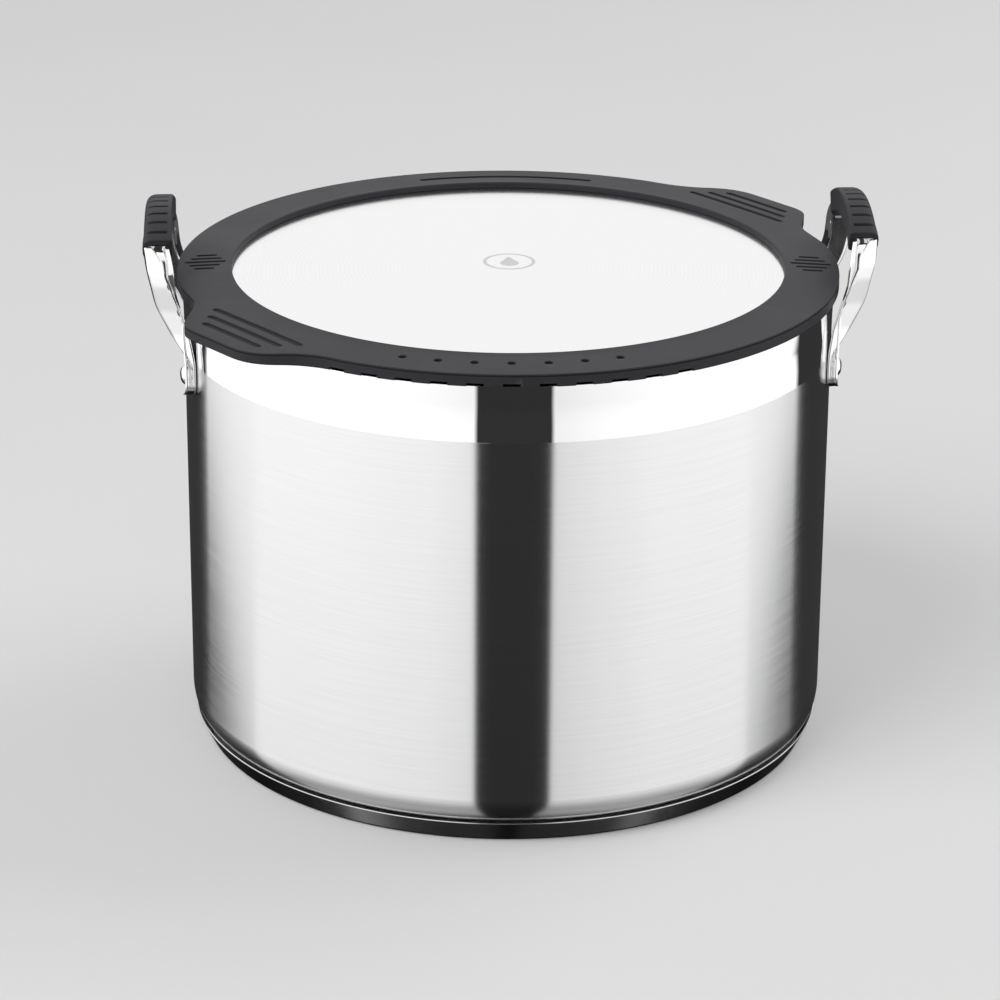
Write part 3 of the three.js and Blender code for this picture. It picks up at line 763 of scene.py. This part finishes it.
def hand_grip(name, turn, node):
    """The silicone sleeve over the handle's arch, with finger grooves across its top."""
    outline = grip_section()
    start, end = 180 - GRIP_START, GRIP_START
    full = surface_distance(end)
    end_round, waist, waist_start, waist_length = 0.8, 0.45, 1.5, 10
    groove_start, groove_fade = -5.0, 0.35  # radially, behind the grip's crisp inner edge
    rings = []
    for angle in np.linspace(start, end, 250):
        along = surface_distance(angle)
        from_end = full - abs(along)
        section = outline.copy()
        narrower = waist * smooth((from_end - waist_start) / waist_length)
        section[:, 0] *= 1 - narrower / GRIP_HALF_DEPTH
        past_round = 1 - min(from_end / end_round, 1.0)
        round_over = end_round * (1 - sqrt(1 - past_round ** 2))
        section *= 1 - round_over / GRIP_HALF_DEPTH
        behind_edge = smooth((section[:, 0] - groove_start) / groove_fade)
        above_floor = np.maximum(section[:, 1] - (GRIP_ABOVE - GROOVE_DEPTH), 0)
        section[:, 1] -= above_floor * groove_share(along) * behind_edge
        rings.append(grip_ring(angle, section))
    bore = outline * [BORE_HALF_DEPTH / GRIP_HALF_DEPTH, BORE_HALF_HEIGHT / GRIP_ABOVE]
    bore[:, 1] = np.clip(bore[:, 1], -BORE_HALF_HEIGHT, BORE_HALF_HEIGHT)
    rings += [grip_ring(angle, bore) for angle in np.linspace(end, start, 60)]
    piece = turned(ring_mesh(name, rings, loop=True, sharp=42), turn)
    place(piece, "pot", "silicone", SILICONE, node)


# ------------------------------------------------------------------ lid

def rim_top(radius):
    """Height of the rim's top, which falls a little outwards."""
    return RIM_TOP - RIM_FALL * (radius - RIM_INNER_RADIUS)


def lid_outline():
    """The rim seen from above, evenly spaced: a circle with a lifting tab on opposite sides."""
    tab = ((159.6, -49, 7), (184, -27, 8), (184, 27, 14), (161.5, 45, 15))
    corners = []
    for azimuth in TAB_AZIMUTHS:
        turn = radians(azimuth)
        for out, across, reach in tab:
            x = out * cos(turn) - across * sin(turn)
            y = out * sin(turn) + across * cos(turn)
            corners.append([x, y, reach])
        for step in range(22, 155):
            angle = turn + radians(step)
            corners.append([RIM_OUTER_RADIUS * cos(angle), RIM_OUTER_RADIUS * sin(angle)])
    first = len(tab) + 6  # on the round stretch, so that no corner is at the path's ends
    start = corners[first]
    path = np.array(rounded([start, *corners[first + 1:], *corners[:first], start], 12))
    steps = np.linalg.norm(np.diff(path, axis=0), axis=1)
    lengths = np.concatenate([[0], np.cumsum(steps)])
    wanted = np.linspace(0, lengths[-1], 760, endpoint=False)
    return np.stack([np.interp(wanted, lengths, path[:, i]) for i in (0, 1)], 1)


def rim_rings():
    """Rings of the rim's section all round: top, creased edge, skirt, seal ring and disc groove."""
    outline = lid_outline()
    ahead, behind = np.roll(outline, -1, axis=0), np.roll(outline, 1, axis=0)
    along = (ahead - behind) / np.linalg.norm(ahead - behind, axis=1)[:, None]
    inward = np.stack([-along[:, 1], along[:, 0]], 1)
    direction = outline / np.linalg.norm(outline, axis=1)[:, None]

    def circle(radius, height):
        flat = direction * radius
        return np.column_stack([flat, np.full(len(flat), height)])

    def edge(offset, drop):
        flat = outline + inward * offset
        return np.column_stack([flat, rim_top(np.linalg.norm(flat, axis=1)) - drop])

    def skirt(offset, height):
        return np.column_stack([outline + inward * offset, np.full(len(outline), height)])

    inner_round, outer_round = 1.0, 0.4
    rings = [circle(RIM_INNER_RADIUS, DISC_TOP + DISC_GAP)]
    for turn in np.linspace(0, pi / 2, 6):
        radius = RIM_INNER_RADIUS + inner_round * (1 - cos(turn))
        rings.append(circle(radius, RIM_TOP - inner_round * (1 - sin(turn))))
    inner = circle(RIM_INNER_RADIUS + 1.3, rim_top(RIM_INNER_RADIUS + 1.3))
    outer = edge(1.2, 0)
    rings += [inner + (outer - inner) * share for share in (0, 0.25, 0.5, 0.75, 1)]
    rings.append(edge(0.7, 0))
    for turn in np.linspace(0, pi / 2, 5):
        rings.append(edge(outer_round * (1 - sin(turn)), outer_round * (1 - cos(turn))))
    crease = (
        (0.0, 0.6), (0.1, 0.7), (0.65, 0.75), (0.75, 0.95),
        (0.65, 1.3), (0.1, 1.4), (0.0, 1.5), (0.0, 1.8),
    )
    rings += [edge(offset, drop) for offset, drop in crease]
    rings += [skirt(0, SKIRT_BOTTOM + 1.0), skirt(0, SKIRT_BOTTOM + 0.6)]
    rings += [skirt(0.18, SKIRT_BOTTOM + 0.18), skirt(0.6, SKIRT_BOTTOM)]
    below = (
        (163.4, SKIRT_BOTTOM), (163.2, SKIRT_BOTTOM - 0.2), (162.9, 234), (162.6, SEAL_BOTTOM + 1),
        (162.2, SEAL_BOTTOM + 0.3), (161.3, SEAL_BOTTOM), (160.2, SEAL_BOTTOM + 1.2),
        (159.8, SEAL_BOTTOM + 2.2), (159.8, RIM_UNDERSIDE - 0.4), (159.4, RIM_UNDERSIDE),
        (150, RIM_UNDERSIDE), (142.4, RIM_UNDERSIDE), (140.5, DISC_UNDERSIDE - 0.6),
        (RIM_INNER_RADIUS, DISC_UNDERSIDE - DISC_GAP), (DISC_RADIUS + 0.2, DISC_UNDERSIDE - DISC_GAP),
        (DISC_RADIUS + 0.2, DISC_TOP + DISC_GAP),
    )
    return rings + [circle(radius, height) for radius, height in below]


def stadium(half_length, half_width):
    """A slot's outline along Y, with round ends."""
    straight = max(half_length - half_width, 0.0)
    turns = np.linspace(0, pi, 10)
    upper = [(half_width * cos(t), straight + half_width * sin(t)) for t in turns]
    return upper + [(-x, -y) for x, y in upper]


def slot_cutter(azimuth, out, side, half_length, half_width, depth, radial=False):
    """A groove with round ends and a softened top edge, across a direction of the rim or along it."""
    levels = (
        (-depth, -0.35), (-depth + 0.2, -0.1), (-depth + 0.4, 0.0),
        (-0.25, 0.0), (0.1, 0.25), (4.0, 0.25),
    )
    rings = []
    for height, grow in levels:
        outline = stadium(half_length + grow, half_width + grow)
        if radial:
            outline = [(y, -x) for x, y in outline]
        points = [(out + x, side + y) for x, y in outline]
        rings.append([(x, y, rim_top(hypot(x, y)) + height) for x, y in points])
    return turned(ring_mesh("cutter", rings), radians(azimuth))


def vent_cutter(azimuth):
    """A round straining hole with a softened top edge."""
    top = rim_top(VENT_CIRCLE)
    radius, mouth = 2.0, 2.35
    profile = [(radius, RIM_UNDERSIDE - 4), (radius, top - 0.3), (mouth, top + 0.1), (mouth, top + 4)]
    piece = ring_mesh("cutter", lathe_rings(profile, 28))
    piece.data.transform(Matrix.Translation((VENT_CIRCLE * MM, 0, 0)))
    return turned(piece, radians(azimuth))


def back_slot_cutter():
    """The long curved straining slot at the back of the rim."""
    top = rim_top(VENT_CIRCLE)
    half_width, mouth = 1.8, 2.1
    from_turn, to_turn = radians(73), radians(107)
    levels = (
        (RIM_UNDERSIDE - 4, half_width), (top - 0.3, half_width),
        (top + 0.1, mouth), (top + 4, mouth),
    )
    rings = []
    for height, half in levels:
        ring = [(VENT_CIRCLE + half, t) for t in np.linspace(from_turn, to_turn, 60)]
        for angle in np.linspace(0, pi, 12)[1:-1]:
            ring.append((VENT_CIRCLE + half * cos(angle), to_turn + half * sin(angle) / VENT_CIRCLE))
        ring += [(VENT_CIRCLE - half, t) for t in np.linspace(to_turn, from_turn, 60)]
        for angle in np.linspace(pi, 2 * pi, 12)[1:-1]:
            ring.append((VENT_CIRCLE + half * cos(angle), from_turn + half * sin(angle) / VENT_CIRCLE))
        rings.append([(r * cos(t), r * sin(t), height) for r, t in ring])
    return ring_mesh("cutter", rings)


def notch_cutter(azimuth):
    """A pouring gap under the skirt, running on as a slot through the seal ring."""
    half_width, inside_seal, outside_seal, past_skirt = 4.2, 158.8, 164.2, 172
    side = [
        (inside_seal, SEAL_BOTTOM - 1), (outside_seal, SEAL_BOTTOM - 1),
        (outside_seal, POT_RIM - 1), (past_skirt, POT_RIM - 1),
        (past_skirt, RIM_UNDERSIDE + 1), (inside_seal, RIM_UNDERSIDE + 1),
    ]
    rings = [[(x, y, z) for x, z in side] for y in (-half_width, half_width)]
    return turned(ring_mesh("cutter", rings), radians(azimuth))


def tab_slots():
    """Three grooves across each lifting tab, shorter towards its edge."""
    half_width, depth = 1.65, 1.2
    cutters = []
    for azimuth in TAB_AZIMUTHS:
        for row in range(3):
            out = 158.5 + 7.7 * row
            half_length = 35.4 - 6.2 * row
            cutters.append(slot_cutter(azimuth, out, 0, half_length, half_width, depth))
    return cutters


def side_marks():
    """Five plain bars on each side of the rim, the middle one longest."""
    out, half_width, depth = 154, 1.25, 1.0
    cutters = []
    for azimuth in (0, 180):
        for row in (-2, -1, 0, 1, 2):
            side = 5.4 * row
            half_length = 10.5 - 2.6 * abs(row)
            cutters.append(slot_cutter(azimuth, out, side, half_length, half_width, depth, radial=True))
    return cutters


def lid_rim():
    """The silicone rim: its moulded section, less the pouring gaps, holes, slots and marks."""
    rim = ring_mesh("lid_rim_moulding", rim_rings(), loop=True)
    cutters = [notch_cutter(FRONT + (i - 5) * 5.9) for i in range(11)]
    cutters += [vent_cutter(FRONT + (i - 3) * 6.53) for i in range(7)]
    cutters.append(back_slot_cutter())
    rim = turned(cut(rim, cutters + tab_slots() + side_marks()), LID_TURN)
    place(rim, "lid", "silicone", SILICONE, "lid_rim")


def lid_plate():
    """The flat steel disc that the rim holds."""
    profile = rounded([
        [2, DISC_UNDERSIDE],
        [100, DISC_UNDERSIDE],
        [DISC_RADIUS, DISC_UNDERSIDE, 0.3],
        [DISC_RADIUS, DISC_TOP, 0.3],
        [100, DISC_TOP],
        [50, DISC_TOP],
        [2, DISC_TOP],
    ], 4)
    place(lathe("lid_plate", profile), "lid", "lid_steel", LID_STEEL, "lid_disc")


# ------------------------------------------------------------------ jar rack

def circle_points(radius, height, count):
    """Points evenly around a level circle."""
    turns = np.linspace(0, 2 * pi, count, endpoint=False)
    return [(radius * cos(t), radius * sin(t), height) for t in turns]


def rack_piece(name, points, radius, node, loop=False):
    """A wire that rides on the rack."""
    place(wire(name, points, radius, loop), "rack", "rack_wire", WIRE_STEEL, node)


def rack_rings():
    """The rack's three level rings."""
    for name, radius, height, wire_radius, count in (
        ("base", RACK_RADIUS, RACK_BASE_HEIGHT, RING_WIRE, 144),
        ("top", RACK_RADIUS, RACK_TOP_HEIGHT, RING_WIRE, 144),
        ("divider", DIVIDER_RADIUS, DIVIDER_HEIGHT, THIN_WIRE, 96),
    ):
        points = circle_points(radius, height, count)
        rack_piece(f"rack_ring_{name}", points, wire_radius, f"rack_{name}_ring", True)


def rack_posts_and_arms():
    """Six uprights outside the rings, and six spokes between the divider ring and the uprights."""
    post_radius = RACK_RADIUS + 2 * RING_WIRE + 0.4
    post_bottom, post_top = 7.4, 100.5
    past_ring = THIN_WIRE + WELD_GAP
    for i, azimuth in enumerate((30, 90, 150, 210, 270, 330)):
        x, y = cos(radians(azimuth)), sin(radians(azimuth))
        post = [(post_radius * x, post_radius * y, z) for z in (post_bottom, 20, 60, post_top)]
        radii = (DIVIDER_RADIUS + past_ring, 80, 110, RACK_RADIUS + past_ring)
        arm = [(r * x, r * y, DIVIDER_HEIGHT) for r in radii]
        rack_piece(f"rack_post_{i + 1}", post, RING_WIRE, f"rack_upright_{i + 1}")
        rack_piece(f"rack_arm_{i + 1}", arm, THIN_WIRE, f"rack_spoke_{i + 1}")


def rack_floor():
    """Seven floor wires over the base ring, and two braces under them, inside the ring."""
    rod_height = RACK_BASE_HEIGHT + RING_WIRE + THIN_WIRE + WELD_GAP
    brace_height = RACK_BASE_HEIGHT + 0.4
    brace_offset = 60
    for i, x in enumerate((-105, -70, -35, 0, 35, 70, 105)):
        half = sqrt(RACK_RADIUS ** 2 - x ** 2) + 1.5
        rod = [(x, y, rod_height) for y in (-half, -half / 3, half / 3, half)]
        rack_piece(f"rack_rod_{i + 1}", rod, THIN_WIRE, f"rack_floor_wire_{i + 1}")
    inside_ring = RACK_RADIUS - RING_WIRE - 2 * WELD_GAP
    half = sqrt(inside_ring ** 2 - (brace_offset + THIN_WIRE) ** 2)
    for i, y in enumerate((-brace_offset, brace_offset)):
        brace = [(x, y, brace_height) for x in (-half, -half / 3, half / 3, half)]
        rack_piece(f"rack_brace_{i + 1}", brace, THIN_WIRE, f"rack_cross_wire_{i + 1}")


def bail_path():
    """One wire: an eye, a leg, the carrying bar, the other leg and its eye, in the bail's own plane."""
    corner, neck_top = 18, 24
    turns = np.linspace(radians(330), radians(28), 30)
    eye = [(EYE_RADIUS * sin(angle), EYE_RADIUS * cos(angle)) for angle in turns]
    neck = [(1.4, 9.4), (0, 14), (0, neck_top)]
    shoulder = rounded([
        [-BAIL_HALF_WIDTH, neck_top],
        [-BAIL_HALF_WIDTH, BAIL_LENGTH, corner],
        [0, BAIL_LENGTH],
    ], 14)
    half = [(x, -BAIL_HALF_WIDTH, z) for x, z in eye + neck]
    half += [(0, y, z) for y, z in shoulder[1:]]
    return half + [(x, -y, z) for x, y, z in reversed(half[:-1])]


def rack_bail(name, side, body, node):
    """A lifting bail hung on the rack's top ring, leaning outwards."""
    hinge = sqrt(RACK_RADIUS ** 2 - BAIL_HALF_WIDTH ** 2)
    piece = wire(name, bail_path(), THIN_WIRE)
    lean = Matrix.Rotation(side * BAIL_LEAN, 4, "Y")
    move = Matrix.Translation((side * hinge * MM, 0, RACK_TOP_HEIGHT * MM))
    piece.data.transform(move @ lean)
    place(piece, body, "rack_wire", WIRE_STEEL, node)


# ------------------------------------------------------------------ assembly

pot_body()
base_shell()
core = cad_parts["base_core"]
core.data.materials.clear()
core.data.materials.append(ALUMINIUM)
for side_name, side_turn in (("right", 0.0), ("left", pi)):
    handle_bar(f"handle_bar_{side_name}", side_turn, f"{side_name}_handle")
    hand_grip(f"hand_grip_{side_name}", side_turn, f"{side_name}_grip")
for foot_name, foot_azimuth in (
    ("right_front", -RIVET_ANGLE),
    ("right_rear", RIVET_ANGLE),
    ("left_rear", 180 - RIVET_ANGLE),
    ("left_front", 180 + RIVET_ANGLE),
):
    rivet(f"domed_rivet_{foot_name}", foot_azimuth, f"{foot_name}_rivet")
lid_plate()
lid_rim()
rack_rings()
rack_posts_and_arms()
rack_floor()
rack_bail("rack_bail_wire_right", 1, "bail_right", "rack_bail_right")
rack_bail("rack_bail_wire_left", -1, "bail_left", "rack_bail_left")


# ------------------------------------------------------------------ studio

def floor():
    """A plain pale floor. Polished steel takes its reflections from the studio around it."""
    half = 30.0
    corners = [(-half, -half, 0), (half, -half, 0), (half, half, 0), (-half, half, 0)]
    mesh = bpy.data.meshes.new("studio_floor")
    mesh.from_pydata(corners, [], [(0, 1, 2, 3)])
    piece = bpy.data.objects.new("studio_floor", mesh)
    bpy.context.scene.collection.objects.link(piece)
    finish = Finish("pale_floor", Roughness=0.75, Specular_IOR_Level=0.2)
    clouds = finish.noise(3.0)
    finish.set("Base Color", finish.blend(clouds, grey(0.66), grey(0.69)))
    mesh.materials.append(finish.material)
    piece.visible_glossy = False


def key_light(name, position, size, power):
    """A large soft light aimed at the middle of the pot, seen only by matt surfaces."""
    data = bpy.data.lights.new(name, "AREA")
    data.shape = "DISK"
    data.size = size
    data.energy = power
    lamp = bpy.data.objects.new(name, data)
    bpy.context.scene.collection.objects.link(lamp)
    lamp.location = position
    aim = Vector((0, 0, 0.15)) - Vector(position)
    lamp.rotation_euler = aim.to_track_quat("-Z", "Y").to_euler()
    lamp.visible_camera = False
    lamp.visible_glossy = False


def ramp(nodes, value, stops):
    """A grey ramp through (place, brightness) stops."""
    node = nodes.node("ShaderNodeValToRGB", value)
    elements = node.color_ramp.elements
    while len(elements) < len(stops):
        elements.new(0.5)
    for element, (position, brightness) in zip(elements, stops):
        element.position = position
        element.color = grey(brightness)
    return node.outputs[0]


def directions(nodes):
    """Turn and level of the direction that the world is seen in. Turn is 0.5 at the front and covers
    the whole circle from 0 to 1; level goes from 0 straight down to 1 straight up. Well below eye
    level the turn runs ahead at the sides, which narrows whatever is spread over it."""
    studio_turn = 0.85  # degrees
    steady = 40  # degrees on each side of the front that keep their width
    narrow_below = 0.324  # level
    narrowing, most = 8.0, 0.4
    direction = nodes.node("ShaderNodeTexCoord").outputs["Generated"]
    x, y, z = nodes.node("ShaderNodeSeparateXYZ", direction).outputs
    level = nodes.math("ADD", nodes.math("MULTIPLY", z, 0.5), 0.5)
    azimuth = nodes.math("ARCTAN2", x, nodes.math("MULTIPLY", y, -1.0))
    past_steady = nodes.math("SUBTRACT", nodes.math("ABSOLUTE", azimuth), radians(steady))
    beyond = nodes.math("MAXIMUM", past_steady, 0.0)
    below = nodes.math("MAXIMUM", nodes.math("SUBTRACT", narrow_below, level), 0.0)
    share = nodes.math("MINIMUM", nodes.math("MULTIPLY", below, narrowing), most)
    ahead = nodes.math("MULTIPLY", nodes.math("MULTIPLY", beyond, share), nodes.math("SIGN", azimuth))
    spread = nodes.math("ADD", nodes.math("ADD", azimuth, ahead), radians(studio_turn))
    return nodes.math("ADD", nodes.math("DIVIDE", spread, 2 * pi), 0.5), level


def studio_reflections(nodes):
    """How bright the studio is in each direction, for reflections.

    Two large light cards stand around the pot. They leave a narrow dark gap at the front, which
    runs on up through the overhead card, and a wide one at the back, below eye level. Lower down
    they get narrower and dimmer, and a dim ring of floor lies under them."""
    turn, level = directions(nodes)
    dark, gap_half, edge = 0.026, 13.0, 0.3

    def at(degrees):
        return 0.5 + degrees / 360

    cards = ramp(nodes, turn, (
        (at(-137), dark), (at(-135), 0.95), (at(-68), 1.0), (at(-30), 0.96),
        (at(-gap_half - edge), 0.88), (at(-gap_half + edge), dark),
        (at(gap_half - edge), dark), (at(gap_half + edge), 0.78),
        (at(30), 0.88), (at(54), 0.96), (at(120), 0.94), (at(122), dark),
    ))
    dimming = ramp(nodes, level, (
        (0.03, 0.02), (0.06, 0.30), (0.12, 0.36), (0.155, 0.16),
        (0.2, 0.40), (0.27, 0.74), (0.31, 0.93), (0.35, 1.0),
    ))
    beside_gap = ramp(nodes, turn, (
        (at(-gap_half - edge), 1.0), (at(-gap_half + edge), dark),
        (at(gap_half - edge), dark), (at(gap_half + edge), 1.0),
    ))
    overhead = ramp(nodes, level, ((0.52, 0.0), (0.57, 0.80)))
    zenith = ramp(nodes, level, ((0.90, 0.0), (0.95, 1.0)))
    above = nodes.math("MULTIPLY", overhead, nodes.math("MAXIMUM", beside_gap, zenith))
    around = nodes.math("MULTIPLY", cards, dimming)
    return nodes.math("MAXIMUM", around, above)


def studio_world():
    """The studio for reflections, even soft light for matt surfaces, and a plain pale backdrop."""
    world = bpy.data.worlds.new("studio")
    bpy.context.scene.world = world
    world.use_nodes = True
    world.node_tree.nodes.clear()
    nodes = Nodes(world.node_tree)

    def background(colour, strength):
        return nodes.node("ShaderNodeBackground", colour, strength).outputs[0]

    def mixed(share, first, second):
        return nodes.node("ShaderNodeMixShader", share, first, second).outputs[0]

    reflections = background(studio_reflections(nodes), 1.36)
    even = background(grey(0.62), 1.0)
    backdrop = background(grey(0.60), 1.0)
    light_path = nodes.node("ShaderNodeLightPath").outputs
    surfaces = mixed(light_path["Is Glossy Ray"], even, reflections)
    nodes.node("ShaderNodeOutputWorld", mixed(light_path["Is Camera Ray"], surfaces, backdrop))


def camera():
    """The photograph's view: from the front, a little to the left, and about 21 degrees above."""
    position = (-0.1067, -1.7968, 0.827)
    turn, pitch, roll = radians(3.4), radians(21.5), radians(0.40)
    across = Vector((cos(turn), -sin(turn), 0))
    forward = Vector((sin(turn) * cos(pitch), cos(turn) * cos(pitch), -sin(pitch)))
    upward = across.cross(forward)
    right = across * cos(roll) + upward * sin(roll)
    up = upward * cos(roll) - across * sin(roll)
    data = bpy.data.cameras.new("view")
    data.lens = 133.6
    data.sensor_width = 36
    data.shift_x = -0.0068
    data.clip_start, data.clip_end = 0.1, 100
    eye = bpy.data.objects.new("view", data)
    bpy.context.scene.collection.objects.link(eye)
    rotation = Matrix((right, up, -forward)).transposed().to_4x4()
    eye.matrix_world = Matrix.Translation(position) @ rotation
    bpy.context.scene.camera = eye


floor()
studio_world()
key_light("key", (-1.6, -1.4, 2.6), 2.2, 46)
key_light("fill", (1.9, 0.9, 2.3), 2.4, 26)
camera()
bpy.context.scene.view_settings.view_transform = "Standard"
